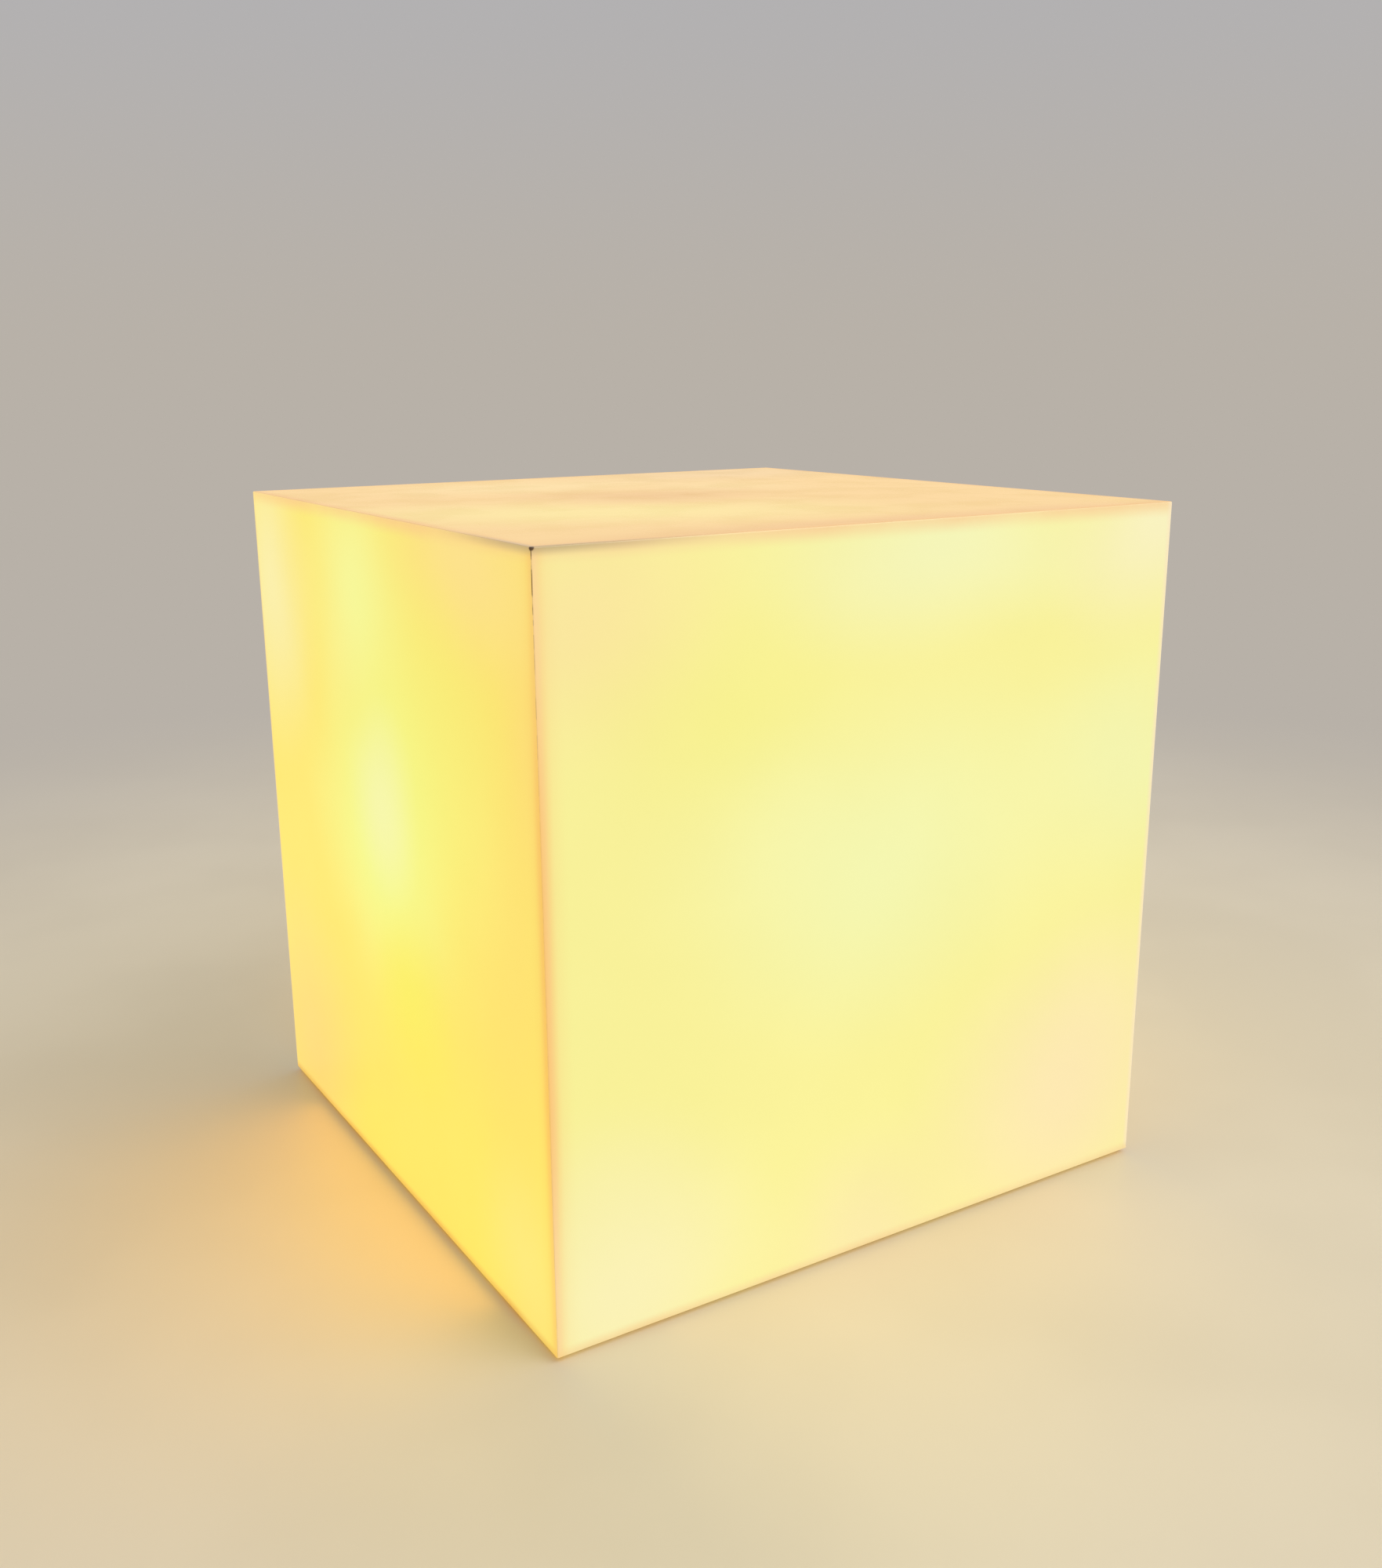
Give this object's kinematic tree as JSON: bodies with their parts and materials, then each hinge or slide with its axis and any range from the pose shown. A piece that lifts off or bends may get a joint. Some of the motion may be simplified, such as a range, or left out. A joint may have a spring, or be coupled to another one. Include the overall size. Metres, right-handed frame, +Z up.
{
  "type": "cube table light",
  "caption": "Lit cube of mitred opal acrylic panels that lifts off a base plate with a lampholder, screw-in bulb and cable gland.",
  "frame": {"origin": "on the surface the feet stand on, under the middle of the cube", "axes": "+Z up, +Y out of the back through the cord's doorway, +X to the right seen from the front"},
  "size_m": [0.2, 0.2, 0.2015],
  "materials": {
    "opal_acrylic": "polished opal acrylic sheet, lit from inside",
    "clear_block": "sawn and bonded acrylic block",
    "opal_base": "opal acrylic sheet",
    "rubber": "matt",
    "white_moulding": "fine spark texture",
    "holder_moulding": "satin thermoplastic",
    "gland_polyamide": "light grey polyamide",
    "terminal_polyamide": "natural polyamide",
    "zinc_steel": "zinc plated",
    "brass": "drawn brass",
    "spring_bronze": "phosphor bronze strip",
    "steatite": "pressed and fired, unglazed",
    "brown_insulation": "insulation",
    "blue_insulation": "insulation",
    "solder": "dull solder",
    "black_glass": "black glass",
    "cap_aluminium": "rolled thread",
    "clear_glass": "clear blown glass",
    "phosphor": "phosphor coated filament",
    "nickel_wire": "nickel wire",
    "circuit_board": "solder mask",
    "black_sleeve": "shrink sleeve"
  },
  "bodies": {
    "base": {"base_plate": "opal_base", "foot_front_left": "rubber", "foot_front_right": "rubber", "foot_back_left": "rubber", "foot_back_right": "rubber", "terminal_housing": "white_moulding", "housing_screws": "zinc_steel", "gland_body": "gland_polyamide", "gland_dome_nut": "gland_polyamide", "gland_locknut": "gland_polyamide", "gland_seal": "rubber", "terminal_block": "terminal_polyamide", "terminal_tubes": "brass", "terminal_screws": "zinc_steel", "terminal_block_screw": "zinc_steel", "live_lead": "brown_insulation", "neutral_lead": "blue_insulation", "nipple": "zinc_steel", "nipple_nut": "zinc_steel", "nipple_washer": "zinc_steel", "lampholder_cap": "holder_moulding", "lampholder_sleeve": "holder_moulding", "lampholder_core": "steatite", "screw_shell": "brass", "centre_contact": "spring_bronze", "live_terminal": "brass", "neutral_terminal": "brass", "lampholder_terminal_screws": "zinc_steel"},
    "shade": {"top_panel": "opal_acrylic", "front_panel": "opal_acrylic", "back_panel": "opal_acrylic", "left_panel": "opal_acrylic", "right_panel": "opal_acrylic", "corner_block_front_left": "clear_block", "corner_block_front_right": "clear_block", "corner_block_back_left": "clear_block", "corner_block_back_right": "clear_block"},
    "bulb_tip": {"bulb_contact": "solder", "bulb_insulator": "black_glass"},
    "bulb": {"bulb_cap": "cap_aluminium", "bulb_glass": "clear_glass", "bulb_stem": "clear_glass", "filament_1": "phosphor", "filament_2": "phosphor", "filament_3": "phosphor", "filament_4": "phosphor", "filament_wires": "nickel_wire", "driver_board": "circuit_board", "driver_capacitor": "black_sleeve"}
  },
  "joints": [
    {"name": "shade_lift", "type": "slide", "parent": "base", "child": "shade", "axis": [0, 0, 1], "range_m": [0, 0.17]},
    {"name": "bulb_rise", "type": "slide", "parent": "base", "child": "bulb_tip", "axis": [0, 0, 1], "range_m": [0, 0.011]},
    {"name": "bulb_turn", "type": "hinge", "parent": "bulb_tip", "child": "bulb", "pos_m": [0, 0, 0.1], "axis": [0, 0, 1], "range_deg": [0, 1080]}
  ],
  "couplings": [
    {"joint": "bulb_rise", "follows": "bulb_turn", "m_per_rad": 0.0005775}
  ]
}
